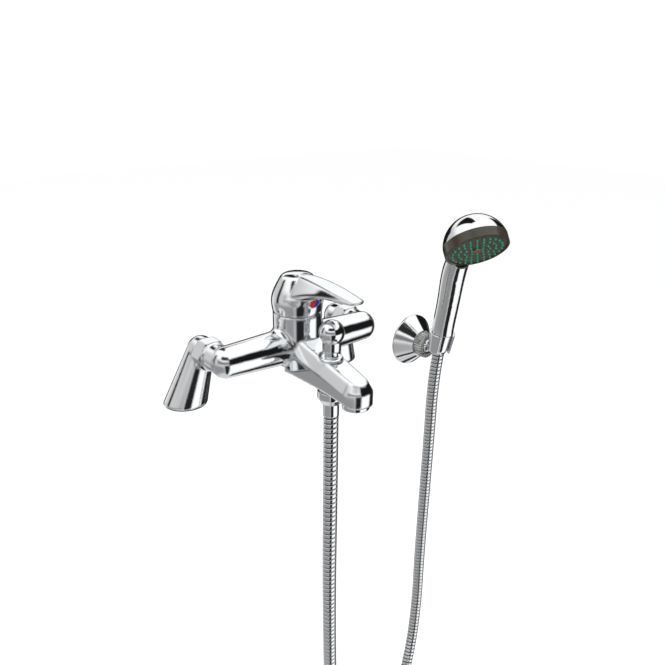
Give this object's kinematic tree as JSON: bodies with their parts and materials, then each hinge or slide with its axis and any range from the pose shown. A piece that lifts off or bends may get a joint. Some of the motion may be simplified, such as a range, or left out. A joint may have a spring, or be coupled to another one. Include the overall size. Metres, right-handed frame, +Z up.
{
  "type": "bath shower mixer",
  "caption": "Deck bath filler with a single lever, pull-up diverter, ribbed hose and hand shower in a swivelling wall holder.",
  "frame": {"origin": "midway between the two inlet holes, on the deck's top face", "axes": "+X along the bar towards the cold side, +Y towards the wall, +Z up; the spout points to -Y"},
  "size_m": [0.3708, 0.1769, 0.7125],
  "materials": {
    "chromed_brass": "polished chrome plate",
    "chromed_abs": "polished chrome plate on ABS",
    "hose_steel": "bright interlocked strip",
    "rubber": "moulded",
    "stainless": "bright",
    "brass": "turned",
    "ceramic": "lapped alumina",
    "white_acetal": "moulded",
    "red_enamel": "gloss",
    "blue_enamel": "gloss",
    "bezel_plastic": "satin",
    "face_plastic": "satin",
    "nozzle_silicone": "moulded silicone",
    "cap_plastic": "gloss"
  },
  "bodies": {
    "root": {"mixer_body": "chromed_brass", "left_leg": "chromed_brass", "right_leg": "chromed_brass", "left_foot_gasket": "rubber", "right_foot_gasket": "rubber", "left_inlet_strainer": "stainless", "right_inlet_strainer": "stainless", "left_union_nut": "chromed_brass", "right_union_nut": "chromed_brass", "left_union_washer": "rubber", "right_union_washer": "rubber", "cartridge_seals": "rubber", "cartridge_base": "white_acetal", "fixed_ceramic_disc": "ceramic", "cartridge_housing": "white_acetal", "cartridge_nut": "brass", "diverter_bonnet": "chromed_brass", "diverter_o_ring": "rubber", "diverter_spring": "stainless", "aerator_housing": "chromed_brass", "aerator_insert": "white_acetal", "aerator_washer": "rubber", "shower_outlet_nipple": "chromed_brass", "hose_nut": "chromed_brass", "hose_nut_washer": "rubber", "hose_ferrule": "chromed_brass", "shower_hose": "hose_steel", "hose_top_lower": "hose_steel", "bracket_wall_plate": "white_acetal", "bracket_flange": "chromed_brass", "bracket_ball_seat": "white_acetal", "bracket_collar": "chromed_brass"},
    "lever_yoke": {"cartridge_carrier": "white_acetal", "spindle_pin": "stainless"},
    "lever": {"lever_handle": "chromed_brass", "lever_spindle": "brass", "hot_mark": "red_enamel", "cold_mark": "blue_enamel", "lever_grub_screw": "stainless"},
    "valve_disc": {"moving_ceramic_disc": "ceramic"},
    "diverter": {"diverter_knob": "chromed_brass", "diverter_stem": "brass", "diverter_plunger": "rubber"},
    "holder_swivel": {"bracket_ball_liner": "white_acetal", "hose_top_middle": "hose_steel"},
    "holder": {"holder_clip": "chromed_brass", "hose_top_upper": "hose_steel"},
    "hose_end": {"hose_cone_nut": "chromed_brass", "cone_nut_washer": "rubber"},
    "hand_shower": {"hand_shower_shell": "chromed_abs", "handle_inlet": "white_acetal", "handle_waterway": "white_acetal", "spray_back_plate": "white_acetal", "spray_bezel": "bezel_plastic", "nozzle_plate": "face_plastic", "nozzle_mat": "nozzle_silicone", "spray_centre_cap": "cap_plastic", "spray_face_screw": "stainless"}
  },
  "joints": [
    {"name": "lever_swing", "type": "hinge", "parent": "root", "child": "lever_yoke", "pos_m": [0, -0.054, 0.069], "axis": [0, 0, 1], "range_deg": [-50, 50]},
    {"name": "lever_lift", "type": "hinge", "parent": "lever_yoke", "child": "lever", "pos_m": [0, -0.054, 0.069], "axis": [-1, 0, 0], "range_deg": [0, 25]},
    {"name": "disc_slide", "type": "slide", "parent": "lever_yoke", "child": "valve_disc", "axis": [0, -1, 0], "range_m": [0, 0.0039]},
    {"name": "diverter_pull", "type": "slide", "parent": "root", "child": "diverter", "axis": [0, 0, 1], "range_m": [0, 0.0055], "stiffness_N_per_m": 250, "springref_m": -0.006, "deforming": ["diverter_spring"]},
    {"name": "holder_swing", "type": "hinge", "parent": "root", "child": "holder_swivel", "pos_m": [0.2295, 0.0015, -0.0195], "axis": [0, 0, 1], "range_deg": [-15, 15], "deforming": ["hose_top_lower"]},
    {"name": "holder_tilt", "type": "hinge", "parent": "holder_swivel", "child": "holder", "pos_m": [0.2295, 0.0015, -0.0195], "axis": [1, 0, 0], "range_deg": [-10, 10], "deforming": ["hose_top_middle"]},
    {"name": "handset_lift", "type": "slide", "parent": "holder", "child": "hose_end", "axis": [0.0279, -0.127, 0.9915], "range_m": [0, 0.03], "deforming": ["hose_top_upper"]},
    {"name": "handset_turn", "type": "hinge", "parent": "hose_end", "child": "hand_shower", "pos_m": [0.2262, -0.0255, -0.006], "axis": [0.0279, -0.127, 0.9915], "range_deg": [-60, 60]}
  ],
  "couplings": [
    {"joint": "disc_slide", "follows": "lever_lift", "m_per_rad": 0.008911}
  ]
}
